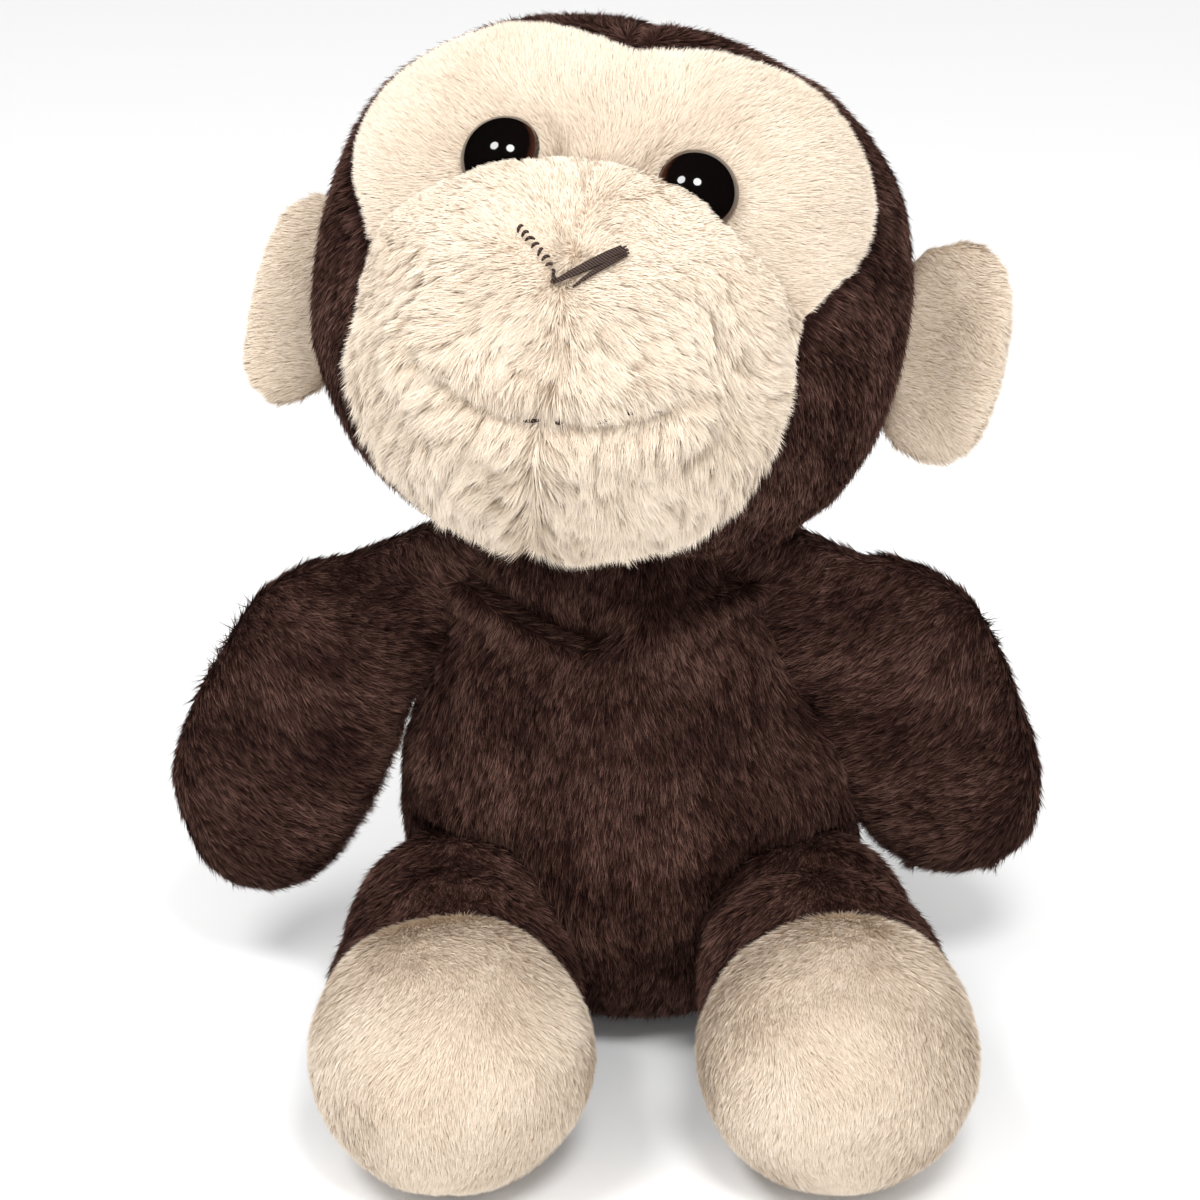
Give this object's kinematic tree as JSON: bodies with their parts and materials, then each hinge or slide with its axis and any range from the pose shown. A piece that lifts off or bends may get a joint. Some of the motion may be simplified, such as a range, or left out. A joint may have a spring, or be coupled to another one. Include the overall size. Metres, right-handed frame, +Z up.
{
  "type": "stuffed monkey",
  "caption": "Small sitting stuffed monkey in dark brown and cream plush, with jointed head, ears, arms and legs, safety eyes and a weighted seat.",
  "frame": {"origin": "on the table, under the middle of the outline", "axes": "+Z up, the monkey faces -Y, its left side is at +X"},
  "size_m": [0.1397, 0.12, 0.1653],
  "materials": {
    "brown_plush": "short dark brown pile",
    "cream_plush": "soft cream pile",
    "wadding": "loose polyester fibre",
    "pouch_cloth": "plain woven cloth",
    "pellet_plastic": "moulded granules",
    "eye_brown": "clear brown, polished",
    "eye_black": "black, polished",
    "washer_plastic": "moulded",
    "thread_brown": "twisted thread"
  },
  "bodies": {
    "body": {"body_front": "brown_plush", "body_back_left": "brown_plush", "body_back_right": "brown_plush", "seat_panel": "brown_plush", "body_stuffing": "wadding", "pellet_bag": "pouch_cloth", "pellets": "pellet_plastic", "closing_seam_thread": "thread_brown"},
    "neck_seam": {"neck_seam_thread": "thread_brown"},
    "neck": {"neck_stuffing": "wadding"},
    "head": {"hood_left": "brown_plush", "hood_right": "brown_plush", "brow_panel": "cream_plush", "muzzle_left": "cream_plush", "muzzle_right": "cream_plush", "head_stuffing": "wadding", "eye_cap_left": "eye_brown", "eye_cap_right": "eye_brown", "eye_shank_left": "eye_black", "eye_shank_right": "eye_black", "eye_washer_left": "washer_plastic", "eye_washer_right": "washer_plastic", "nose_stitching": "thread_brown", "mouth_stitching": "thread_brown"},
    "ear_left": {"ear_front_left": "cream_plush", "ear_back_left": "cream_plush", "ear_wadding_left": "wadding"},
    "ear_right": {"ear_front_right": "cream_plush", "ear_back_right": "cream_plush", "ear_wadding_right": "wadding"},
    "shoulder_seam_left": {"shoulder_seam_thread_left": "thread_brown"},
    "arm_left": {"arm_front_left": "brown_plush", "arm_back_left": "brown_plush", "arm_stuffing_left": "wadding"},
    "shoulder_seam_right": {"shoulder_seam_thread_right": "thread_brown"},
    "arm_right": {"arm_front_right": "brown_plush", "arm_back_right": "brown_plush", "arm_stuffing_right": "wadding"},
    "hip_seam_left": {"hip_seam_thread_left": "thread_brown"},
    "leg_left": {"leg_sleeve_left": "brown_plush", "foot_upper_left": "cream_plush", "foot_sole_left": "cream_plush", "leg_stuffing_left": "wadding"},
    "hip_seam_right": {"hip_seam_thread_right": "thread_brown"},
    "leg_right": {"leg_sleeve_right": "brown_plush", "foot_upper_right": "cream_plush", "foot_sole_right": "cream_plush", "leg_stuffing_right": "wadding"}
  },
  "joints": [
    {"name": "head_turn", "type": "hinge", "parent": "body", "child": "neck_seam", "pos_m": [-0.00134, 0.01751, 0.083], "axis": [0, 0, 1], "range_deg": [-30, 30], "stiffness_Nm_per_rad": 0.25},
    {"name": "head_nod", "type": "hinge", "parent": "neck_seam", "child": "neck", "pos_m": [-0.00134, 0.01751, 0.083], "axis": [1, 0, 0], "range_deg": [-7, 7], "stiffness_Nm_per_rad": 0.4},
    {"name": "head_tilt", "type": "hinge", "parent": "neck", "child": "head", "pos_m": [-0.00134, 0.01751, 0.083], "axis": [0, 1, 0], "range_deg": [-5, 5], "stiffness_Nm_per_rad": 0.4},
    {"name": "ear_fold_left", "type": "hinge", "parent": "head", "child": "ear_left", "pos_m": [0.04945, 0.01695, 0.11157], "axis": [0.2043, 0.5151, 0.8324], "range_deg": [-15, 15], "stiffness_Nm_per_rad": 0.01},
    {"name": "ear_fold_right", "type": "hinge", "parent": "head", "child": "ear_right", "pos_m": [-0.04837, 0.03014, 0.11479], "axis": [-0.2043, -0.5151, -0.8324], "range_deg": [-15, 15], "stiffness_Nm_per_rad": 0.01},
    {"name": "arm_swing_left", "type": "hinge", "parent": "body", "child": "shoulder_seam_left", "pos_m": [0.02916, 0.01151, 0.0745], "axis": [-0.9659, -0.2588, 0], "range_deg": [0, 70], "stiffness_Nm_per_rad": 0.05},
    {"name": "arm_raise_left", "type": "hinge", "parent": "shoulder_seam_left", "child": "arm_left", "pos_m": [0.02916, 0.01151, 0.0745], "axis": [0.2588, -0.9659, 0], "range_deg": [0, 50], "stiffness_Nm_per_rad": 0.05},
    {"name": "arm_swing_right", "type": "hinge", "parent": "body", "child": "shoulder_seam_right", "pos_m": [-0.03184, 0.01151, 0.0745], "axis": [-0.9659, 0.2588, 0], "range_deg": [0, 70], "stiffness_Nm_per_rad": 0.05},
    {"name": "arm_raise_right", "type": "hinge", "parent": "shoulder_seam_right", "child": "arm_right", "pos_m": [-0.03184, 0.01151, 0.0745], "axis": [0.2588, 0.9659, 0], "range_deg": [0, 50], "stiffness_Nm_per_rad": 0.05},
    {"name": "leg_lift_left", "type": "hinge", "parent": "body", "child": "hip_seam_left", "pos_m": [0.03116, -0.00649, 0.02], "axis": [-0.9962, -0.0872, 0], "range_deg": [0, 25], "stiffness_Nm_per_rad": 0.1},
    {"name": "leg_spread_left", "type": "hinge", "parent": "hip_seam_left", "child": "leg_left", "pos_m": [0.03116, -0.00649, 0.02], "axis": [0, 0, 1], "range_deg": [-4, 20], "stiffness_Nm_per_rad": 0.1},
    {"name": "leg_lift_right", "type": "hinge", "parent": "body", "child": "hip_seam_right", "pos_m": [-0.02484, -0.00649, 0.02], "axis": [-0.9998, -0.0175, 0], "range_deg": [0, 25], "stiffness_Nm_per_rad": 0.1},
    {"name": "leg_spread_right", "type": "hinge", "parent": "hip_seam_right", "child": "leg_right", "pos_m": [-0.02484, -0.00649, 0.02], "axis": [0, 0, -1], "range_deg": [-4, 20], "stiffness_Nm_per_rad": 0.1}
  ]
}
